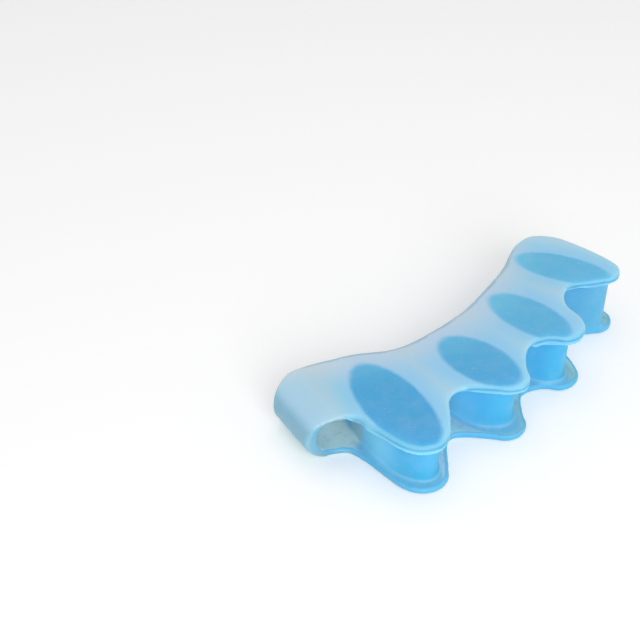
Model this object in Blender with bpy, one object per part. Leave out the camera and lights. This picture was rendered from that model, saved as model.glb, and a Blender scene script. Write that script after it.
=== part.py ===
"""Toe separator: one soft silicone moulding that holds the toes of one foot apart.

Two thin sheets with scalloped fronts are joined by four solid oval pillars, one between
each pair of toes, and by a closed loop round the big toe. The little-toe end is open.
X runs along the row of toes, the toes point to -Y, and the part lies flat on Z = 0.
Sizes are in millimetres and degrees.
"""
from math import ceil, cos, pi, radians, sin

import bmesh
import bpy
from mathutils import Vector
from mathutils.geometry import interpolate_bezier

MM = 0.001

# Height of the moulding, which rises evenly from the loop to the open end
HEIGHT_AT_LOOP = 12.3
HEIGHT_AT_OPEN_END = 16.4
TOP_SHEET = 0.8
BOTTOM_SHEET = 1.7
LOOP_WALL = 2.3
RIM_RADIUS = 0.45

# Pillars from the big toe to the little toe: centre, size in plan, and how far the toes
# beside it lean from -Y towards the big toe
PILLARS = [
    dict(x=-31.4, y=3.3, length=27.5, width=12.5, splay=17.5),
    dict(x=-9.2, y=-1.4, length=20.6, width=13.2, splay=6.5),
    dict(x=11.7, y=-1.2, length=21.6, width=12.0, splay=6.5),
    dict(x=33.2, y=3.4, length=23.1, width=11.5, splay=-15.5),
]
# Round each pillar's head the top sheet is thicker, and thins out towards the toes
HEAD_REACH = 2.8
HEAD_FADE = 3.4
HEAD_FILLET = 0.7
FOOT_FILLET = 1.0

# The lobe of both sheets in front of each pillar, how much further the bottom sheet's
# lobe reaches, the sheets' margin behind the pillar, and the thickness round its head
LOBES = [
    dict(margin=1.7, radius=6.0, shift=0.0, foot=0.7, behind=4.0, head=2.3),
    dict(margin=3.1, radius=5.7, shift=-0.2, foot=0.7, behind=2.8, head=2.4),
    dict(margin=2.3, radius=5.9, shift=1.6, foot=0.3, behind=2.5, head=2.2),
    dict(margin=1.9, radius=5.2, shift=1.9, foot=0.0, behind=1.6, head=1.5),
]
LOBE_ANGLES = (-70, -35, 0, 35, 70)
CORNER_ANGLES = (-45, 0, 45)

# The sheets at each toe between two pillars: how deep the front edge is notched behind
# the tips of the lobes, and how wide the sheets are from the notch to the back edge
TOES = [
    dict(notch=8.4, sheet=19.2),
    dict(notch=6.6, sheet=19.0),
    dict(notch=8.8, sheet=16.8),
]

# The loop for the big toe, measured from the first pillar's centre. Its front edge slants
# back from the top sheet to the bottom one, where its corner is also rounder. A corner is
# a share of that edge's length.
LOOP_REACH = 19.1
LOOP_FRONT_AT_TOP = 0.9
LOOP_FRONT_AT_BOTTOM = 4.2
LOOP_CORNER_AT_TOP = 0.34
LOOP_CORNER_AT_BOTTOM = 0.86
LOOP_BACK = 19.8
LOOP_BACK_CORNER = 7.0
LOOP_CROTCH = 5.0
FLANK_MARGIN = 1.8

# The open end, measured from the last pillar's centre. The bottom sheet reaches further.
END_REACH = 11.6
END_FLARE = 1.2
END_BACK = 13.0
END_CORNER = 7.0
END_WAIST = 0.9

# How finely the curves are cut, and how far cutters run past what they cut
OUTLINE_STEP = 1.4
PILLAR_SIDES = 56
ARC_STEPS = 6
RIM_STEPS = 2
BEND_STEPS = 20
SEAT = 0.2
OVERRUN = 5.0
SHARP_ANGLE = 35


def remove_everything():
    for thing in list(bpy.data.objects):
        bpy.data.objects.remove(thing, do_unlink=True)


def toe_frame(pillar):
    """Placing across and forward of a pillar's centre, along the toes beside it."""
    lean = radians(pillar["splay"])
    centre = Vector((pillar["x"], pillar["y"]))
    across = Vector((cos(lean), -sin(lean)))
    forward = Vector((-sin(lean), -cos(lean)))
    return lambda u, v: centre + across * u + forward * v


def corner(place, u, v, radius, turn):
    """Three points of a rounded corner whose sides run along the frame's two axes."""
    points = []
    for step in CORNER_ANGLES:
        angle = radians(turn + step)
        points.append(place(u + radius * cos(angle), v + radius * sin(angle)))
    return points


def lobe_points(pillar, lobe, extra):
    place = toe_frame(pillar)
    middle = pillar["length"] / 2 + lobe["margin"] + extra - lobe["radius"]
    points = []
    for angle in LOBE_ANGLES:
        u = lobe["shift"] + lobe["radius"] * sin(radians(angle))
        v = middle + lobe["radius"] * cos(radians(angle))
        points.append(place(u, v))
    return points


def lobe_tip(pillar, lobe):
    return toe_frame(pillar)(lobe["shift"], pillar["length"] / 2 + lobe["margin"])


def behind_pillar(pillar, lobe):
    return toe_frame(pillar)(0, -pillar["length"] / 2 - lobe["behind"])


def toe_notch(index):
    """The front edge at a toe between two pillars, and the back edge behind it."""
    toe = TOES[index]
    pair = list(zip(PILLARS, LOBES))[index:index + 2]
    tips = [lobe_tip(pillar, lobe) for pillar, lobe in pair]
    lean = radians(sum(pillar["splay"] for pillar, _ in pair) / 2)
    backward = Vector((sin(lean), cos(lean)))
    front = (tips[0] + tips[1]) / 2 + backward * toe["notch"]
    return front, front + backward * toe["sheet"]


def loop_points(front_edge, corner_share):
    """The edge round the big-toe loop, from the back edge to the first lobe's flank."""
    pillar = PILLARS[0]
    place = toe_frame(pillar)
    side = -LOOP_REACH - OVERRUN / 2
    flank = -pillar["width"] / 2 - FLANK_MARGIN
    r_back, r_in = LOOP_BACK_CORNER, LOOP_CROTCH
    # On a short loop the front corner gives way to the back one
    free_side = LOOP_BACK - r_back - front_edge
    r_front = min(corner_share * (flank - r_in - side), free_side - OUTLINE_STEP / 2)
    back = corner(place, side + r_back, -LOOP_BACK + r_back, r_back, -135)
    front = corner(place, side + r_front, -front_edge - r_front, r_front, 135)
    crotch = corner(place, flank - r_in, -front_edge + r_in, r_in, -45)
    return back[::-1] + front[::-1] + crotch


def end_points(reach):
    """The edge of the open end, from the last lobe's flank to the back edge."""
    place = toe_frame(PILLARS[-1])
    waist = place(reach - END_WAIST, 0)
    centre_u = reach - END_CORNER
    centre_v = END_CORNER - END_BACK
    return [waist] + corner(place, centre_u, centre_v, END_CORNER, -45)[::-1]


def outline_knots(bottom):
    """The bottom or top sheet's outline as points, anticlockwise seen from above."""
    if bottom:
        loop = loop_points(LOOP_FRONT_AT_BOTTOM, LOOP_CORNER_AT_BOTTOM)
        end = end_points(END_REACH + END_FLARE)
    else:
        loop = loop_points(LOOP_FRONT_AT_TOP, LOOP_CORNER_AT_TOP)
        end = end_points(END_REACH)
    notches = [toe_notch(index) for index in range(len(TOES))]
    back = []
    for index in reversed(range(len(PILLARS))):
        back.append(behind_pillar(PILLARS[index], LOBES[index]))
        if index:
            back.append(notches[index - 1][1])
    front = []
    for index, (pillar, lobe) in enumerate(zip(PILLARS, LOBES)):
        front += lobe_points(pillar, lobe, lobe["foot"] if bottom else 0)
        if index < len(notches):
            front.append(notches[index][0])
    return back + loop + front + end


TOP_KNOTS = outline_knots(False)
BOTTOM_KNOTS = outline_knots(True)


def smooth_outline(knots):
    """A closed centripetal Catmull-Rom curve through the knots, cut into short steps.

    Both sheets take as many steps, so that their points pair up.
    """
    points = []
    count = len(knots)
    for index in range(count):
        before, start, end, after = (knots[(index + step) % count] for step in (-1, 0, 1, 2))
        d1 = (start - before).length ** 0.5
        d2 = (end - start).length ** 0.5
        d3 = (after - end).length ** 0.5
        lead = d1 * d1 * end - d2 * d2 * before + (2 * d1 * d1 + 3 * d1 * d2 + d2 * d2) * start
        trail = d3 * d3 * start - d2 * d2 * after + (2 * d3 * d3 + 3 * d3 * d2 + d2 * d2) * end
        handle1 = lead / (3 * d1 * (d1 + d2))
        handle2 = trail / (3 * d3 * (d3 + d2))
        after_index = (index + 1) % count
        gaps = [(ring[after_index] - ring[index]).length for ring in (TOP_KNOTS, BOTTOM_KNOTS)]
        steps = ceil(max(gaps) / OUTLINE_STEP)
        span = interpolate_bezier(start, handle1, handle2, end, steps + 1)
        points += [Vector(point[:2]) for point in span[:-1]]
    return points


def inset(points, distance):
    """The same closed outline moved inwards along its own normals."""
    moved = []
    for index, point in enumerate(points):
        along = points[(index + 1) % len(points)] - points[index - 1]
        moved.append(point + Vector((-along.y, along.x)).normalized() * distance)
    return moved


def oval(pillar, offset):
    place = toe_frame(pillar)
    across = pillar["width"] / 2 + offset
    forward = pillar["length"] / 2 + offset
    angles = [2 * pi * step / PILLAR_SIDES for step in range(PILLAR_SIDES)]
    return [place(across * cos(angle), forward * sin(angle)) for angle in angles]


MIDDLE_HEIGHT = (HEIGHT_AT_LOOP + HEIGHT_AT_OPEN_END) / 2


def build_solid(name, rings):
    """A closed solid through rings of 3-D points, in a moulding of even height.

    The whole height is then stretched so that it rises from the loop to the open end.
    """
    left = toe_frame(PILLARS[0])(-LOOP_REACH, 0).x
    right = toe_frame(PILLARS[-1])(END_REACH, 0).x
    rise = (HEIGHT_AT_OPEN_END - HEIGHT_AT_LOOP) / (right - left)
    mesh = bmesh.new()
    loops = []
    for ring in rings:
        loop = []
        for x, y, z in ring:
            height = HEIGHT_AT_LOOP + rise * (x - left)
            loop.append(mesh.verts.new(Vector((x, y, z * height / MIDDLE_HEIGHT)) * MM))
        loops.append(loop)
    for lower, upper in zip(loops, loops[1:]):
        for index in range(len(lower)):
            after = (index + 1) % len(lower)
            mesh.faces.new((lower[index], lower[after], upper[after], upper[index]))
    mesh.faces.new(loops[0][::-1])
    mesh.faces.new(loops[-1])
    bmesh.ops.recalc_face_normals(mesh, faces=mesh.faces)
    data = bpy.data.meshes.new(name)
    mesh.to_mesh(data)
    mesh.free()
    solid = bpy.data.objects.new(name, data)
    bpy.context.collection.objects.link(solid)
    return solid


def at_height(points, z):
    return [(point.x, point.y, z) for point in points]


def make_block():
    """The whole outline as a solid block, with its top and bottom rims rounded."""
    bottom = smooth_outline(BOTTOM_KNOTS)
    top = smooth_outline(TOP_KNOTS)
    levels = []
    for step in range(RIM_STEPS + 1):
        angle = pi / 2 * step / RIM_STEPS
        levels.append((RIM_RADIUS * (1 - sin(angle)), RIM_RADIUS * (1 - cos(angle))))
    rings = [at_height(inset(bottom, depth), z) for depth, z in levels]
    rings += [at_height(inset(top, depth), MIDDLE_HEIGHT - z) for depth, z in levels[::-1]]
    return build_solid("toe_separator", rings)


def loop_prism(name, reach, bottom, top):
    """A prism along the big toe, with a half-round side at the loop, open elsewhere."""
    place = toe_frame(PILLARS[0])
    radius = (top - bottom) / 2
    profile = []
    for step in range(BEND_STEPS + 1):
        angle = pi / 2 + pi * step / BEND_STEPS
        u = -reach + radius + radius * cos(angle)
        profile.append((u, (top + bottom) / 2 + radius * sin(angle)))
    far_right = PILLARS[-1]["x"] - PILLARS[0]["x"] + END_REACH + PILLARS[0]["length"]
    profile += [(far_right, bottom), (far_right, top)]
    length = LOOP_BACK + PILLARS[0]["length"] + OVERRUN
    rings = []
    for v in (-length, length):
        ring = []
        for u, z in profile:
            spot = place(u, v)
            ring.append((spot.x, spot.y, z))
        rings.append(ring)
    return build_solid(name, rings)


def make_pillar(index):
    """One pillar, tall enough to run through the space that the toes take."""
    foot = BOTTOM_SHEET - SEAT
    head = MIDDLE_HEIGHT - LOBES[index]["head"]
    crown = MIDDLE_HEIGHT - TOP_SHEET + SEAT
    levels = [(FOOT_FILLET, foot - OVERRUN)]
    for step in range(ARC_STEPS + 1):
        angle = pi / 2 * step / ARC_STEPS
        levels.append((FOOT_FILLET * (1 - sin(angle)), foot + FOOT_FILLET * (1 - cos(angle))))
    for step in range(ARC_STEPS + 1):
        angle = pi / 2 * step / ARC_STEPS
        levels.append((HEAD_FILLET * (1 - cos(angle)), head - HEAD_FILLET * (1 - sin(angle))))
    for step in range(ARC_STEPS + 1):
        share = step / ARC_STEPS
        eased = share * share * (3 - 2 * share)
        levels.append((HEAD_REACH + HEAD_FADE * share, head + (crown - head) * eased))
    levels.append((HEAD_REACH + HEAD_FADE, crown + OVERRUN))
    rings = [at_height(oval(PILLARS[index], offset), z) for offset, z in levels]
    return build_solid(f"pillar_{index + 1}", rings)


def cut(solid, operation, tool):
    boolean = solid.modifiers.new(tool.name, "BOOLEAN")
    boolean.operation = operation
    boolean.object = tool
    tool.hide_render = True
    tool.display_type = "WIRE"


def silicone():
    material = bpy.data.materials.new("frosted_silicone")
    material.use_nodes = True
    shader = material.node_tree.nodes["Principled BSDF"]
    shader.inputs["Base Color"].default_value = (0.25, 0.56, 0.76, 1)
    shader.inputs["Roughness"].default_value = 0.42
    shader.inputs["Metallic"].default_value = 0
    shader.inputs["Subsurface Weight"].default_value = 0.4
    shader.inputs["Subsurface Scale"].default_value = 4 * MM
    return material


def centre_on_origin(parts, solid):
    """Moves every part so that the finished solid stands centred on the origin."""
    bpy.context.view_layer.update()
    finished = solid.evaluated_get(bpy.context.evaluated_depsgraph_get())
    corners = [Vector(point) for point in finished.bound_box]
    middle = (corners[0] + corners[6]) / 2
    base = bpy.data.objects.new("base", None)
    bpy.context.collection.objects.link(base)
    for part in parts:
        part.parent = base
    base.location = (-middle.x, -middle.y, 0)


def main():
    remove_everything()
    block = make_block()
    loop_outside = loop_prism("loop_outside", LOOP_REACH, -SEAT, MIDDLE_HEIGHT + SEAT)
    toe_space = loop_prism(
        "toe_space", LOOP_REACH - LOOP_WALL, BOTTOM_SHEET, MIDDLE_HEIGHT - TOP_SHEET
    )
    pillars = [make_pillar(index) for index in range(len(PILLARS))]
    for pillar in pillars:
        cut(toe_space, "DIFFERENCE", pillar)
    cut(block, "INTERSECT", loop_outside)
    cut(block, "DIFFERENCE", toe_space)
    block.data.materials.append(silicone())
    block.data.shade_smooth()
    block.data.set_sharp_from_angle(angle=radians(SHARP_ANGLE))
    centre_on_origin([block, loop_outside, toe_space] + pillars, block)


main()
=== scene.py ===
"""Looks of a toe separator moulded in one piece from frosted, see-through blue silicone."""
from math import cos, hypot, radians, sin

import bmesh
import bpy
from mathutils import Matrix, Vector


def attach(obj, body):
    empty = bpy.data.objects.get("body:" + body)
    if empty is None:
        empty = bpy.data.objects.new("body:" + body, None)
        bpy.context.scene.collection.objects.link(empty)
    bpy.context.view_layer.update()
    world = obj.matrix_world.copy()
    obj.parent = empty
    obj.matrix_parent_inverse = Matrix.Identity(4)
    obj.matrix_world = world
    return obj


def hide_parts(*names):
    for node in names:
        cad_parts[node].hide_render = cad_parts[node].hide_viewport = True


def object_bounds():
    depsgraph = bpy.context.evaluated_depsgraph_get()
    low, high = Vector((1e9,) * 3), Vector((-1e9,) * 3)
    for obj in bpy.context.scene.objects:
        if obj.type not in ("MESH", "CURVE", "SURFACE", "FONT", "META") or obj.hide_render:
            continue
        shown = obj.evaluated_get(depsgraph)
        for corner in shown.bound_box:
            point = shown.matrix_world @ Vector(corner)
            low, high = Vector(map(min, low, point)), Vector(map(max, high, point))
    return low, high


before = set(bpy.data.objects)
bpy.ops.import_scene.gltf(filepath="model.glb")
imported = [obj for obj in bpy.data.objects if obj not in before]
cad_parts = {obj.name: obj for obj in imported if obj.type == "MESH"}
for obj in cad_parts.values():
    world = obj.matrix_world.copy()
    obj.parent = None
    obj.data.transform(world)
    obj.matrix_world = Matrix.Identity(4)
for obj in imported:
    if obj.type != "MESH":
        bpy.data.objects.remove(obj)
cad_low, cad_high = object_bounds()

# The moulding: two scalloped sheets, four solid oval pillars and the loop for the big toe,
# all one piece of soft silicone. It comes from its mould with every rim slightly rounded,
# so the hard-edged solid is rebuilt on a fine even grid and its edges are worn down.
MM = 0.001
SAME_POINT = 0.001 * MM
GRID = 0.4 * MM
SOFTENING, SOFTENING_STEPS = 0.5, 7

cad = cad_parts["toe_separator"]
merged = bmesh.new()
merged.from_mesh(cad.data)
bmesh.ops.remove_doubles(merged, verts=merged.verts, dist=SAME_POINT)
solid_data = bpy.data.meshes.new("solid_shape")
merged.to_mesh(solid_data)
merged.free()
solid = bpy.data.objects.new("solid_shape", solid_data)
bpy.context.collection.objects.link(solid)
moulding = bpy.data.objects.new("silicone_moulding", solid_data.copy())
bpy.context.collection.objects.link(moulding)

regrid = moulding.modifiers.new("even_grid", "REMESH")
regrid.mode = "VOXEL"
regrid.voxel_size = GRID
settle = moulding.modifiers.new("back_onto_the_solid", "SHRINKWRAP")
settle.wrap_method = "NEAREST_SURFACEPOINT"
settle.target = solid
soften = moulding.modifiers.new("worn_edges", "SMOOTH")
soften.factor = SOFTENING
soften.iterations = SOFTENING_STEPS

# The frosted silicone: one moulding compound, which looks pale where a sheet is thin and
# deep blue where light passes through a solid pillar or along the edge of a sheet. Its
# colours are laid over one another, each between the two named places where it fades in.
silicone = bpy.data.materials.new("frosted_silicone")
silicone.use_nodes = True
tree = silicone.node_tree
nodes, links = tree.nodes, tree.links
shader = nodes["Principled BSDF"]


def join(source, target):
    """Links a node's output to a socket, or sets the socket to a plain value."""
    if isinstance(source, bpy.types.NodeSocket):
        links.new(source, target)
    else:
        target.default_value = source


def calc(operation, first, second=0.0):
    """One step of arithmetic in the material."""
    made = nodes.new("ShaderNodeMath")
    made.operation = operation
    join(first, made.inputs[0])
    join(second, made.inputs[1])
    return made.outputs[0]


def product(*factors):
    total = factors[0]
    for factor in factors[1:]:
        total = calc("MULTIPLY", total, factor)
    return total


def fade(value, start, end):
    """Rises smoothly from 0 at the start to 1 at the end, which may lie below the start."""
    made = nodes.new("ShaderNodeMapRange")
    made.interpolation_type = "SMOOTHSTEP"
    join(value, made.inputs["Value"])
    made.inputs["From Min"].default_value = min(start, end)
    made.inputs["From Max"].default_value = max(start, end)
    made.inputs["To Min"].default_value = 0.0 if start < end else 1.0
    made.inputs["To Max"].default_value = 1.0 if start < end else 0.0
    return made.outputs["Result"]


def srgb(red, green, blue):
    """A colour written as 8-bit sRGB, as the shader wants it."""
    linear = []
    for channel in (red, green, blue):
        share = channel / 255
        linear.append(share / 12.92 if share <= 0.04045 else ((share + 0.055) / 1.055) ** 2.4)
    return (*linear, 1.0)


def blend(amount, under, over):
    """One colour laid over another."""
    made = nodes.new("ShaderNodeMix")
    made.data_type = "RGBA"
    join(amount, made.inputs["Factor"])
    join(under, made.inputs["A"])
    join(over, made.inputs["B"])
    return made.outputs["Result"]


def noise(size, detail, shift=0.0):
    """Soft random blotches of about a size in millimetres. Each shift gives other blotches."""
    moved = nodes.new("ShaderNodeMapping")
    moved.inputs["Location"].default_value = (shift, shift, shift)
    links.new(place.outputs["Object"], moved.inputs["Vector"])
    made = nodes.new("ShaderNodeTexNoise")
    made.inputs["Scale"].default_value = 1 / (size * MM)
    made.inputs["Detail"].default_value = detail
    links.new(moved.outputs["Vector"], made.inputs["Vector"])
    return made.outputs["Fac"]


def blotches(size, detail, shift, edge, strength):
    """Separate blotches, where the noise rises past an edge."""
    return product(fade(noise(size, detail, shift), *edge), strength)


place = nodes.new("ShaderNodeTexCoord")
where = nodes.new("ShaderNodeSeparateXYZ")
links.new(place.outputs["Object"], where.inputs["Vector"])
x_mm = product(where.outputs["X"], 1 / MM)
y_mm = product(where.outputs["Y"], 1 / MM)
facing = nodes.new("ShaderNodeSeparateXYZ")
links.new(place.outputs["Normal"], facing.inputs["Vector"])
faces_right, faces_back, faces_up = (facing.outputs[axis] for axis in "XYZ")

# Heights are taken as shares of the moulding's own height, which rises along X
HEIGHT_AT_LOOP = 12.3 * MM
HEIGHT_AT_OPEN_END = 16.4 * MM
slope = (HEIGHT_AT_OPEN_END - HEIGHT_AT_LOOP) / (cad_high.x - cad_low.x)


def height_at(x):
    return HEIGHT_AT_LOOP + slope * (x - cad_low.x)


full_height = calc("ADD", product(where.outputs["X"], slope), height_at(0))
level = calc("DIVIDE", where.outputs["Z"], full_height)

# How far outside the nearest solid pillar a point lies in plan, in millimetres. Under the
# frosted sheet the pillar's edge looks a little ragged.
PILLARS = [
    dict(x=-30.9, y=-3.3, length=30.0, width=13.2, turn=-20.2),
    dict(x=-8.1, y=-8.3, length=21.6, width=12.4, turn=-6.6),
    dict(x=12.4, y=-7.7, length=22.6, width=11.6, turn=-6.4),
    dict(x=33.8, y=-3.1, length=23.6, width=10.9, turn=15.3),
]
ANY_HEIGHT = 1000.0
RAGGED, RAGGED_SIZE, NOISE_MEAN = 0.5, 1.6, 0.5
PILLAR_EDGE = 0.8, -1.0

nearest = None
for pillar in PILLARS:
    half_width, half_length = pillar["width"] / 2, pillar["length"] / 2
    oval = nodes.new("ShaderNodeMapping")
    oval.vector_type = "TEXTURE"
    oval.inputs["Location"].default_value = (pillar["x"] * MM, pillar["y"] * MM, 0)
    oval.inputs["Rotation"].default_value = (0, 0, radians(pillar["turn"]))
    oval.inputs["Scale"].default_value = (half_width * MM, half_length * MM, ANY_HEIGHT)
    links.new(place.outputs["Object"], oval.inputs["Vector"])
    radius = nodes.new("ShaderNodeVectorMath")
    radius.operation = "LENGTH"
    links.new(oval.outputs["Vector"], radius.inputs[0])
    past_edge = calc("SUBTRACT", radius.outputs["Value"], 1.0)
    gap = product(past_edge, (half_width + half_length) / 2)
    nearest = gap if nearest is None else calc("MINIMUM", nearest, gap)
raggedness = product(calc("SUBTRACT", noise(RAGGED_SIZE, detail=2), NOISE_MEAN), RAGGED)
reach = calc("ADD", nearest, raggedness)
over_pillar = fade(reach, *PILLAR_EDGE)

# The sheets are thin and grey along the back edge, behind a bowed line, and between the toes
BOW_MIDDLE = 3.0
BACK_BOW, BACK_START = 0.0105, -1.0
GREY_BEHIND = -7.0, 6.0
GREY_BETWEEN, BETWEEN_SHARE = (1.0, 10.0), 0.55


def behind_line(bow, start):
    """How far a point lies behind a bowed line across the toes, in millimetres."""
    from_middle = calc("ABSOLUTE", calc("SUBTRACT", x_mm, BOW_MIDDLE))
    bowed = product(calc("POWER", from_middle, 2.0), bow)
    return calc("SUBTRACT", y_mm, calc("ADD", bowed, start))


behind = behind_line(BACK_BOW, BACK_START)
between_toes = product(fade(reach, *GREY_BETWEEN), BETWEEN_SHARE)
greyness = calc("MAXIMUM", fade(behind, *GREY_BEHIND), between_toes)

# The loop's own axes: how far across and along the big toe a point lies, in millimetres, and
# which way the surface faces across the toe
LOOP_TURN = radians(17.5)
LOOP_CENTRE_X, LOOP_CENTRE_Y = -29.4, -2.4
LOOP_WALL = -10.5, -12.5
FACES_LEFT, FACES_TOE = (-0.15, -0.5), (0.1, 0.4)
BEHIND_OPENING = 5.0, 7.0


def across_loop(x, y):
    return calc("SUBTRACT", product(x, cos(LOOP_TURN)), product(y, sin(LOOP_TURN)))


def along_loop(x, y):
    return calc("ADD", product(x, sin(LOOP_TURN)), product(y, cos(LOOP_TURN)))


from_centre_x = calc("SUBTRACT", x_mm, LOOP_CENTRE_X)
from_centre_y = calc("SUBTRACT", y_mm, LOOP_CENTRE_Y)
across = across_loop(from_centre_x, from_centre_y)
along = along_loop(from_centre_x, from_centre_y)
faces_across = across_loop(faces_right, faces_back)
loop_wall = fade(across, *LOOP_WALL)
loop_outside = product(loop_wall, fade(faces_across, *FACES_LEFT))
loop_inside = product(loop_wall, fade(faces_across, *FACES_TOE), fade(along, *BEHIND_OPENING))

GREY_SHEET = srgb(189, 209, 230)
BLUE_SHEET = srgb(150, 204, 238)
PILLAR_FROM_ABOVE = srgb(74, 170, 218)
PALE_PILLAR_FROM_ABOVE = srgb(105, 193, 226)
PILLAR_WALL = srgb(72, 180, 226)
PILLAR_WALL_PAINTED_LIGHTER = srgb(126, 214, 255)
PALE_PILLAR_WALL = srgb(112, 178, 208)
HEAD_EDGE = srgb(116, 200, 238)
HEAD_LINE_OF_PAINTED_SHADE = srgb(84, 162, 206)
THIN_EDGE = srgb(112, 180, 222)
LOW_EDGE = srgb(86, 184, 228)
LIT_RIM = srgb(146, 210, 244)
TOP_RIM_HIGHLIGHT = srgb(126, 190, 222)
LOW_RIM_HIGHLIGHT = srgb(142, 212, 252)
BACK_RIM = srgb(140, 168, 184)
GAP_FLOOR_PAINTED_LIGHTER = srgb(172, 228, 234)
FLOOR_OF_LOBE = srgb(172, 216, 236)
LOBE_FLOOR_WITH_PAINTED_SHADE = srgb(148, 204, 210)
FOOT = srgb(118, 194, 228)
INSIDE_PAINTED_LIGHTER = srgb(200, 232, 232)
INSIDE_WALL_PAINTED_LIGHTER = srgb(160, 206, 220)
LOOP_SIDE = srgb(134, 183, 204)
LOOP_FRONT = srgb(114, 170, 198)
SPECK = srgb(200, 226, 240)
MOTTLE = srgb(112, 158, 184)

# Seen from above, a pillar is paler towards its back end and towards the little toe, with
# small pale specks in it
TO_LITTLE_TOE, LITTLE_TOE_SHARE = (-30.0, 34.0), 0.7
TO_BACK_END, BACK_END_SHARE = (-8.0, 3.0), 0.5
paler_along = product(fade(x_mm, *TO_LITTLE_TOE), LITTLE_TOE_SHARE)
paler_behind = product(fade(behind, *TO_BACK_END), BACK_END_SHARE)
paleness = calc("MINIMUM", calc("ADD", paler_along, paler_behind), 1.0)
specks = blotches(size=0.35, detail=1, shift=5.0, edge=(0.69, 0.77), strength=0.42)
deep = blend(paleness, PILLAR_FROM_ABOVE, PALE_PILLAR_FROM_ABOVE)
deep = blend(specks, deep, SPECK)
top_face = blend(over_pillar, blend(greyness, BLUE_SHEET, GREY_SHEET), deep)

# The bottom sheet seen between the toes: blue round the pillars' feet and mottled all over.
# Painted light makes it paler off the lobes and inside the loop, and past the first lobe
# it takes a copy of its colour with painted shade.
FIRST_LOBE_END = -20.0, -8.0
FOOT_RING, OFF_THE_LOBE = (1.4, 0.0), (2.2, 4.5)
IN_LOOP_ACROSS, IN_LOOP_ALONG, LIES_FLAT = (-5.0, -6.5), (1.5, 5.0), (0.0, 0.4)
lobe_floor = blend(fade(x_mm, *FIRST_LOBE_END), FLOOR_OF_LOBE, LOBE_FLOOR_WITH_PAINTED_SHADE)
floor_face = blend(fade(reach, *OFF_THE_LOBE), lobe_floor, GAP_FLOOR_PAINTED_LIGHTER)
floor_face = blend(fade(reach, *FOOT_RING), floor_face, FOOT)
loop_floor = product(
    fade(across, *IN_LOOP_ACROSS), fade(along, *IN_LOOP_ALONG), fade(faces_up, *LIES_FLAT))
floor_face = blend(loop_floor, floor_face, INSIDE_PAINTED_LIGHTER)
mottles = blotches(size=1.5, detail=3, shift=9.0, edge=(0.52, 0.68), strength=0.22)
floor_face = blend(mottles, floor_face, MOTTLE)

# A pillar's wall gets less light the further it lies behind the lobes' tips, so painted light
# makes its colour lighter there. Towards the open end it is greyer, and by the loop it takes the
# loop's colours, painted lighter inside the loop and on the first pillar's side that faces it.
TIP_BOW, TIP_START = 0.0025, -17.6
BEHIND_TIPS, BEHIND_TIPS_UP_TO = (2.0, 11.0), (40.0, 14.0)
TO_OPEN_END, OPEN_END_SHARE = (18.0, 34.0), 0.5
BOTTOM_SHEET = 0.15, 0.10
LOOP_SIDE_OF_PILLAR = -7.5, -10.0
FIRST_PILLAR_ACROSS, FIRST_PILLAR_ALONG, FACES_LOOP = (-2.0, -4.0), (1.5, 4.0), (-0.3, -0.7)
UPRIGHT, LOWER_HALF = (0.75, 0.35), (0.5, 0.3)
depth = behind_line(TIP_BOW, TIP_START)
in_shade = product(fade(depth, *BEHIND_TIPS), fade(x_mm, *BEHIND_TIPS_UP_TO))
at_open_end = product(fade(x_mm, *TO_OPEN_END), OPEN_END_SHARE)
first_pillar = product(
    fade(across, *FIRST_PILLAR_ACROSS), fade(along, *FIRST_PILLAR_ALONG),
    fade(faces_across, *FACES_LOOP))
wall = blend(at_open_end, PILLAR_WALL, PALE_PILLAR_WALL)
wall = blend(in_shade, wall, PILLAR_WALL_PAINTED_LIGHTER)
wall = blend(fade(level, *BOTTOM_SHEET), wall, LOW_EDGE)
wall = blend(fade(across, *LOOP_SIDE_OF_PILLAR), wall, LOOP_FRONT)
wall = blend(first_pillar, wall, INSIDE_WALL_PAINTED_LIGHTER)
wall = blend(loop_outside, wall, LOOP_SIDE)
wall = blend(loop_inside, wall, INSIDE_PAINTED_LIGHTER)
tilt = calc("ABSOLUTE", faces_up)
flat = blend(fade(level, *LOWER_HALF), top_face, floor_face)
colour = blend(fade(tilt, *UPRIGHT), flat, wall)

# The side of the top sheet is a band, deep in front of a pillar's head and thin elsewhere,
# with a line of painted shade under its upper rim in front of the heads
HEAD_BOTTOM, LAST_HEAD_HIGHER, LAST_HEAD_FROM = 0.84, 0.055, (22.0, 26.0)
BAND_BOTTOM, BAND_TOP, BAND_TILT = (-0.012, 0.004), (0.978, 0.964), (0.98, 0.90)
RIGHT_OF_LOOP = -10.0, -7.5
LINE_BOTTOM, LINE_TOP = (0.920, 0.935), (0.975, 0.960)
BY_THE_HEAD, OFF_THE_HEAD = (4.5, 3.0), (3.4, 5.0)
under_head = calc("ADD", product(fade(x_mm, *LAST_HEAD_FROM), LAST_HEAD_HIGHER), HEAD_BOTTOM)
above_wall = calc("SUBTRACT", level, under_head)
side = product(
    fade(above_wall, *BAND_BOTTOM), fade(level, *BAND_TOP), fade(tilt, *BAND_TILT),
    fade(across, *RIGHT_OF_LOOP))
head_shade_line = product(
    fade(reach, *BY_THE_HEAD), fade(level, *LINE_BOTTOM), fade(level, *LINE_TOP))
thin_edge = product(fade(reach, *OFF_THE_HEAD), fade(level, *LINE_BOTTOM))
band = blend(thin_edge, blend(head_shade_line, HEAD_EDGE, HEAD_LINE_OF_PAINTED_SHADE), THIN_EDGE)
colour = blend(side, colour, band)
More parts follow.
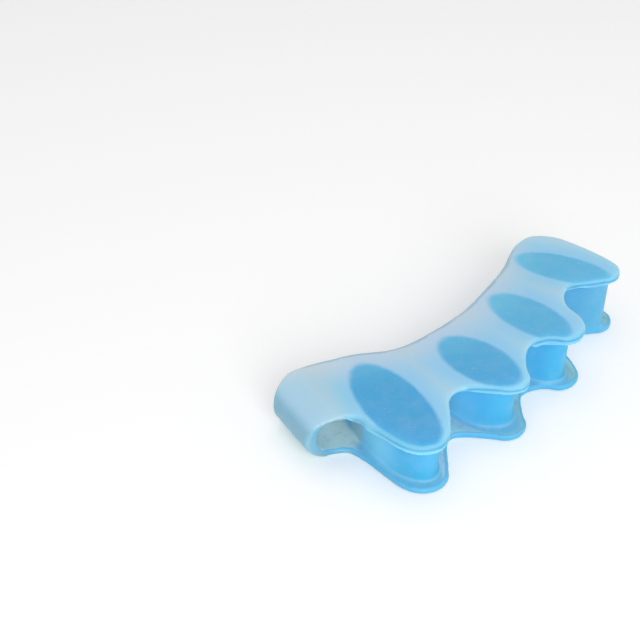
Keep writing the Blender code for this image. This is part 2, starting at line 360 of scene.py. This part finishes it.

# Rims get painted highlights in front, above and below the band, and are painted a darker
# grey at the back. The rims' bulge is kept on the mesh by the next section.
BULGES, FAINTLY_BULGES = (0.04, 0.09), (0.015, 0.06)
TURNS_UP, NOT_QUITE_FLAT, TURNS_DOWN = (0.15, 0.4), (0.97, 0.85), (0.02, -0.15)
OFF_LOOP_WALL, OFF_LOOP_TOP = (-13.5, -11.5), (-11.5, -10.0)
TOP_LINE_LEVEL, TOP_LINE_SHARE = (0.945, 0.962), 0.8
LOW_LINE_LEVEL = 0.6, 0.7
BOTTOM_RIM_LEVEL, BOTTOM_RIM_TURN, BOTTOM_RIM_SHARE = (0.25, 0.18), (-0.1, 0.1), 0.8
AT_BACK = 0.0, 4.0
BETWEEN_HEADS, RIGHT_OF_FIRST, FACES_RIGHT = (2.6, 4.0), (-9.0, -4.0), (0.0, 0.4)
BACK_LINE_LEVEL, BACK_LINE_SHARE = (0.90, 0.95), 0.6
rim = nodes.new("ShaderNodeAttribute")
rim.attribute_name = "rim"
bulging = fade(rim.outputs["Fac"], *BULGES)
off_loop_wall = fade(across, *OFF_LOOP_WALL)
at_back = fade(behind, *AT_BACK)
top_highlight = product(
    bulging, fade(faces_up, *TURNS_UP), fade(faces_up, *NOT_QUITE_FLAT),
    fade(level, *TOP_LINE_LEVEL), off_loop_wall, TOP_LINE_SHARE)
low_highlight = product(
    bulging, fade(faces_up, *TURNS_DOWN), fade(level, *LOW_LINE_LEVEL), off_loop_wall)
bottom_rim = product(
    bulging, fade(level, *BOTTOM_RIM_LEVEL), fade(faces_up, *BOTTOM_RIM_TURN), BOTTOM_RIM_SHARE)
back_line = product(
    fade(rim.outputs["Fac"], *FAINTLY_BULGES), at_back, fade(level, *BACK_LINE_LEVEL),
    fade(across, *OFF_LOOP_TOP), BACK_LINE_SHARE)
off_the_heads = product(fade(reach, *BETWEEN_HEADS), fade(across, *RIGHT_OF_FIRST))
well_lit = calc("MAXIMUM", fade(faces_right, *FACES_RIGHT), off_the_heads)
top_rim_highlight = blend(well_lit, TOP_RIM_HIGHLIGHT, LIT_RIM)
colour = blend(bottom_rim, colour, LOW_EDGE)
colour = blend(top_highlight, colour, blend(at_back, top_rim_highlight, BACK_RIM))
colour = blend(low_highlight, colour, blend(at_back, LOW_RIM_HIGHLIGHT, BACK_RIM))
colour = blend(back_line, colour, BACK_RIM)
cloudy = blotches(size=3.2, detail=3, shift=7.0, edge=(0.35, 0.75), strength=0.10)
links.new(blend(cloudy, colour, GREY_SHEET), shader.inputs["Base Color"])

# Light scatters inside the silicone, but not where the bottom sheet lies on the floor. A fine
# frosting makes the surface uneven.
SCATTER, SCATTER_LEVEL = 0.75, (0.10, 0.35)
SCATTER_DEPTH, SCATTER_COLOUR = 5.0 * MM, (0.7, 1.1, 1.3)
SILICONE_IOR = 1.41
FROST_SIZE, FROST_DEPTH, FROST_STRENGTH = 0.22, 0.05 * MM, 0.12
SMOOTHEST, ROUGHER = 0.40, 0.16
scatter = product(fade(level, *SCATTER_LEVEL), SCATTER)
links.new(scatter, shader.inputs["Subsurface Weight"])
shader.inputs["Subsurface Radius"].default_value = SCATTER_COLOUR
shader.inputs["Subsurface Scale"].default_value = SCATTER_DEPTH
shader.inputs["IOR"].default_value = SILICONE_IOR
frosting = noise(FROST_SIZE, detail=2, shift=3.0)
roughness = calc("ADD", product(frosting, ROUGHER), SMOOTHEST)
links.new(roughness, shader.inputs["Roughness"])
bump = nodes.new("ShaderNodeBump")
bump.inputs["Strength"].default_value = FROST_STRENGTH
bump.inputs["Distance"].default_value = FROST_DEPTH
links.new(frosting, bump.inputs["Height"])
links.new(bump.outputs["Normal"], shader.inputs["Normal"])

# The moulding's soft rims: where the surface turns round a rim, it bulges past its blurred
# self. The bulge is kept on the mesh in millimetres, and the material paints the rims' highlights
# from it.
RIM_BLUR_STEPS = 5
soft_rims = bpy.data.node_groups.new("soft_rims", "GeometryNodeTree")
sockets = soft_rims.interface
sockets.new_socket("Geometry", in_out="INPUT", socket_type="NodeSocketGeometry")
steps = sockets.new_socket("Blur steps", in_out="INPUT", socket_type="NodeSocketInt")
scale = sockets.new_socket("Bulge scale", in_out="INPUT", socket_type="NodeSocketFloat")
finish = sockets.new_socket("Material", in_out="INPUT", socket_type="NodeSocketMaterial")
sockets.new_socket("Geometry", in_out="OUTPUT", socket_type="NodeSocketGeometry")
geo, wires = soft_rims.nodes, soft_rims.links
entry = geo.new("NodeGroupInput")
leave = geo.new("NodeGroupOutput")
position = geo.new("GeometryNodeInputPosition")
normal = geo.new("GeometryNodeInputNormal")
blurred = geo.new("GeometryNodeBlurAttribute")
blurred.data_type = "FLOAT_VECTOR"
wires.new(position.outputs["Position"], blurred.inputs["Value"])
wires.new(entry.outputs["Blur steps"], blurred.inputs["Iterations"])
pulled = geo.new("ShaderNodeVectorMath")
pulled.operation = "SUBTRACT"
wires.new(position.outputs["Position"], pulled.inputs[0])
wires.new(blurred.outputs["Value"], pulled.inputs[1])
bulge = geo.new("ShaderNodeVectorMath")
bulge.operation = "DOT_PRODUCT"
wires.new(pulled.outputs["Vector"], bulge.inputs[0])
wires.new(normal.outputs["Normal"], bulge.inputs[1])
scaled = geo.new("ShaderNodeMath")
scaled.operation = "MULTIPLY"
wires.new(bulge.outputs["Value"], scaled.inputs[0])
wires.new(entry.outputs["Bulge scale"], scaled.inputs[1])
keep = geo.new("GeometryNodeStoreNamedAttribute")
keep.data_type = "FLOAT"
keep.domain = "POINT"
keep.inputs["Name"].default_value = rim.attribute_name
wires.new(entry.outputs["Geometry"], keep.inputs["Geometry"])
wires.new(scaled.outputs["Value"], keep.inputs["Value"])
smooth = geo.new("GeometryNodeSetShadeSmooth")
wires.new(keep.outputs["Geometry"], smooth.inputs["Geometry"])
real = geo.new("GeometryNodeRealizeInstances")
wires.new(smooth.outputs["Geometry"], real.inputs["Geometry"])
dress = geo.new("GeometryNodeSetMaterial")
wires.new(real.outputs["Geometry"], dress.inputs["Geometry"])
wires.new(entry.outputs["Material"], dress.inputs["Material"])
wires.new(dress.outputs["Geometry"], leave.inputs["Geometry"])

rims = moulding.modifiers.new("soft_rims", "NODES")
rims.node_group = soft_rims
rims[steps.identifier] = RIM_BLUR_STEPS
rims[scale.identifier] = 1 / MM
rims[finish.identifier] = silicone

bpy.context.view_layer.update()
shaped = bpy.data.meshes.new_from_object(
    moulding.evaluated_get(bpy.context.evaluated_depsgraph_get()))
moulding.modifiers.clear()
moulding.data = shaped
bpy.data.objects.remove(solid, do_unlink=True)

# The loop's front edge: the side of the silicone loop isn't cut straight, it is hollowed so
# that the opening for the big toe looks round. Halfway up the edge lies furthest back.
HOLLOW, HOLLOW_LENGTH = 1.5, 9.0
HOLLOW_ACROSS = -10.0, -15.0
HOLLOW_FROM_BELOW, HOLLOW_FROM_ABOVE = (0.3, 0.8), (1.06, 0.82)
EDGE_AT_BOTTOM, EDGE_AT_TOP = 4.2, 0.9


def ease(value, start, end):
    """Rises smoothly from 0 at the start to 1 at the end, as fade does in the material."""
    share = min(max((value - start) / (end - start), 0.0), 1.0)
    return share * share * (3 - 2 * share)


def across_and_along(spot, x, y, turn_cos, turn_sin):
    """Where a point lies on an oval's or the loop's own axes, in millimetres."""
    from_x, from_y = spot.x / MM - x, spot.y / MM - y
    return from_x * turn_cos + from_y * turn_sin, from_y * turn_cos - from_x * turn_sin


loop_cos, loop_sin = cos(-LOOP_TURN), sin(-LOOP_TURN)
for vertex in shaped.vertices:
    share = vertex.co.z / height_at(vertex.co.x)
    u, v = across_and_along(vertex.co, LOOP_CENTRE_X, LOOP_CENTRE_Y, loop_cos, loop_sin)
    behind_edge = v - (EDGE_AT_BOTTOM + (EDGE_AT_TOP - EDGE_AT_BOTTOM) * share)
    amount = ease(u, *HOLLOW_ACROSS) * ease(behind_edge, HOLLOW_LENGTH, 0.0)
    amount *= ease(share, *HOLLOW_FROM_BELOW) * ease(share, *HOLLOW_FROM_ABOVE)
    vertex.co.x -= HOLLOW * amount * loop_sin * MM
    vertex.co.y += HOLLOW * amount * loop_cos * MM

# The heads: the top sheet is thicker in front of each pillar, and its side swells there into
# a bead, or stands out as a whole by the big toe. Between the heads its silicone thins out
# again, and the lobes' flanks are pulled in, which makes the notches round.
HEADS = [
    dict(x=-29.4, y=-2.4, length=27.5, width=12.5, turn=-17.5, bead=0.65, whole=0.5,
         thin_near=0.2, thin_far=0.3, pull_left=0.0, pull_right=0.5),
    dict(x=-7.2, y=-7.1, length=20.6, width=13.2, turn=-6.5, bead=0.2, whole=0.0,
         thin_near=0.35, thin_far=0.65, pull_left=0.9, pull_right=0.0),
    dict(x=13.7, y=-6.9, length=21.6, width=12.0, turn=-6.5, bead=0.2, whole=0.0,
         thin_near=0.05, thin_far=0.6, pull_left=0.5, pull_right=1.2),
    dict(x=35.2, y=-2.3, length=23.1, width=11.5, turn=15.5, bead=0.15, whole=0.0,
         thin_near=0.1, thin_far=0.4, pull_left=0.9, pull_right=0.0),
]
SHEET_BOTTOM, LOWEST_MOVED = 0.943, 0.7
FRONT_HALF, FURTHEST_BACK = (0.0, -4.0), 3.0
THIN_FROM, THIN_FAR_FROM, THIN_UP_TO = (0.3, 1.2), (2.2, 4.6), (7.5, 5.0)
THIN_LEVEL = 0.74, 0.82
BEAD_FROM, BEAD_UP_TO, BEAD_LEFT_OF = (0.8, 2.0), (6.4, 2.6), (3.4, -0.6)
BEAD_LEVEL, BELOW_RIM = (0.74, 0.80), (0.985, 0.90)
FLANK_FROM, FLANK_UP_TO, FLANK_LEVEL = (0.2, 3.2), (7.0, 3.6), (0.74, 0.82)
LEFT_FLANK, RIGHT_FLANK = (1.0, -5.0), (0.5, 4.5)
RIGHT_FLANK_FRONT, RIGHT_FLANK_BACK = (-10.0, -4.5), (3.0, -2.0)


def thinning(head, distance, v, share):
    """How much of the head's extra depth is taken away."""
    spread = head["thin_far"] - head["thin_near"]
    amount = head["thin_near"] + spread * ease(distance, *THIN_FAR_FROM)
    amount *= ease(distance, *THIN_FROM) * ease(distance, *THIN_UP_TO) * ease(v, *FRONT_HALF)
    return amount * ease(share, *THIN_LEVEL)


def outward(head, distance, u, v, share):
    """How far the side stands out, in millimetres, less how far its flanks are pulled in."""
    amount = ease(distance, *BEAD_FROM) * ease(distance, *BEAD_UP_TO)
    amount *= ease(v, *FRONT_HALF) * ease(u, *BEAD_LEFT_OF) * ease(share, *BEAD_LEVEL)
    swell = (head["bead"] * ease(share, *BELOW_RIM) + head["whole"]) * amount
    pull = head["pull_left"] * ease(u, *LEFT_FLANK) * ease(v, *FRONT_HALF)
    beside = ease(v, *RIGHT_FLANK_BACK) * ease(v, *RIGHT_FLANK_FRONT)
    pull += head["pull_right"] * ease(u, *RIGHT_FLANK) * beside
    flank = ease(distance, *FLANK_FROM) * ease(distance, *FLANK_UP_TO)
    return swell - pull * flank * ease(share, *FLANK_LEVEL)


for vertex in shaped.vertices:
    before = vertex.co.copy()
    full_z = height_at(before.x)
    share = before.z / full_z
    if share < LOWEST_MOVED:
        continue
    below_sheet = max(SHEET_BOTTOM - share, 0.0) * full_z
    for head in HEADS:
        c, s = cos(radians(head["turn"])), sin(radians(head["turn"]))
        u, v = across_and_along(before, head["x"], head["y"], c, s)
        half_width, half_length = head["width"] / 2, head["length"] / 2
        radius = hypot(u / half_width, v / half_length)
        if v > FURTHEST_BACK or radius < 1:
            continue
        lean_u, lean_v = u / half_width ** 2, v / half_length ** 2
        steepness = hypot(lean_u, lean_v)
        distance = (radius - 1) * radius / steepness
        push = outward(head, distance, u, v, share) / steepness * MM
        vertex.co.x += push * (lean_u * c - lean_v * s)
        vertex.co.y += push * (lean_u * s + lean_v * c)
        vertex.co.z += thinning(head, distance, v, share) * below_sheet

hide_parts("toe_separator")
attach(moulding, "root")

# The floor: a sheet of white paper, wide enough to fill the view behind the moulding. What is
# seen of it is a little lighter than the light that it gives, so that it looks white.
FLOOR_SIZE = 4.0
PAPER, PAPER_ROUGHNESS, PAPER_LIFT = 0.92, 0.9, 0.16
WHITE = (1, 1, 1, 1)


def as_seen(surroundings):
    """1 where a view ray meets the floor or the room, also in gloss or glass, and 0 elsewhere."""
    path = surroundings.nodes.new("ShaderNodeLightPath")
    ray = path.outputs["Is Camera Ray"]
    for kind in ("Is Glossy Ray", "Is Transmission Ray"):
        either = surroundings.nodes.new("ShaderNodeMath")
        either.operation = "MAXIMUM"
        surroundings.links.new(ray, either.inputs[0])
        surroundings.links.new(path.outputs[kind], either.inputs[1])
        ray = either.outputs["Value"]
    return ray


floor_mesh = bmesh.new()
bmesh.ops.create_grid(floor_mesh, x_segments=1, y_segments=1, size=FLOOR_SIZE / 2)
floor_data = bpy.data.meshes.new("floor")
floor_mesh.to_mesh(floor_data)
floor_mesh.free()
floor = bpy.data.objects.new("floor", floor_data)
bpy.context.collection.objects.link(floor)
paper = bpy.data.materials.new("white_paper")
paper.use_nodes = True
sheet = paper.node_tree.nodes["Principled BSDF"]
sheet.inputs["Base Color"].default_value = (PAPER, PAPER, PAPER, 1)
sheet.inputs["Roughness"].default_value = PAPER_ROUGHNESS
sheet.inputs["Emission Color"].default_value = WHITE
lift = paper.node_tree.nodes.new("ShaderNodeMath")
lift.operation = "MULTIPLY"
lift.inputs[1].default_value = PAPER_LIFT
paper.node_tree.links.new(as_seen(paper.node_tree), lift.inputs[0])
paper.node_tree.links.new(lift.outputs["Value"], sheet.inputs["Emission Strength"])
floor_data.materials.append(paper)

# The light: a white room, with one broad lamp overhead and a smaller, stronger one in front
# on the left. Both lamps are turned to the moulding. The room looks as light as the far floor.
ROOM_LIGHT, ROOM_AS_SEEN = 0.55, 0.67
world = bpy.data.worlds.new("white_room")
bpy.context.scene.world = world
world.use_nodes = True
background = world.node_tree.nodes["Background"]
background.inputs["Color"].default_value = WHITE
room = world.node_tree.nodes.new("ShaderNodeMapRange")
room.inputs["To Min"].default_value = ROOM_LIGHT
room.inputs["To Max"].default_value = ROOM_AS_SEEN
world.node_tree.links.new(as_seen(world.node_tree), room.inputs["Value"])
world.node_tree.links.new(room.outputs["Result"], background.inputs["Strength"])


def set_up(thing, spot, target):
    """Puts a lamp or camera at its spot and turns it to the target."""
    thing.location = spot
    thing.rotation_euler = (Vector(target) - Vector(spot)).to_track_quat("-Z", "Y").to_euler()
    bpy.context.collection.objects.link(thing)


def lamp(name, size, power, spot):
    light = bpy.data.lights.new(name, "AREA")
    light.shape = "DISK"
    light.size = size
    light.energy = power
    set_up(bpy.data.objects.new(name, light), spot, target=(0, 0, 0))


lamp("overhead", size=0.7, power=0.95, spot=(0.1, 0.1, 0.8))
lamp("front", size=0.45, power=2.7, spot=(-0.37, -0.49, 0.33))

# The camera stands low in front on the loop's side and looks along the row of toes. Its spot
# and lens were fitted to the outlines of the sheets and pillars.
CAMERA_SPOT = (-0.1681754, -0.1058605, 0.1523094)
CAMERA_TARGET = (-0.0200399, 0.0269211, 0.0145090)
CAMERA_LENS, NEAREST_SEEN = 60.23, 0.01
camera_data = bpy.data.cameras.new("view")
camera_data.lens = CAMERA_LENS
camera_data.clip_start = NEAREST_SEEN
camera = bpy.data.objects.new("view", camera_data)
set_up(camera, CAMERA_SPOT, CAMERA_TARGET)
bpy.context.scene.camera = camera
bpy.context.scene.view_settings.view_transform = "Standard"
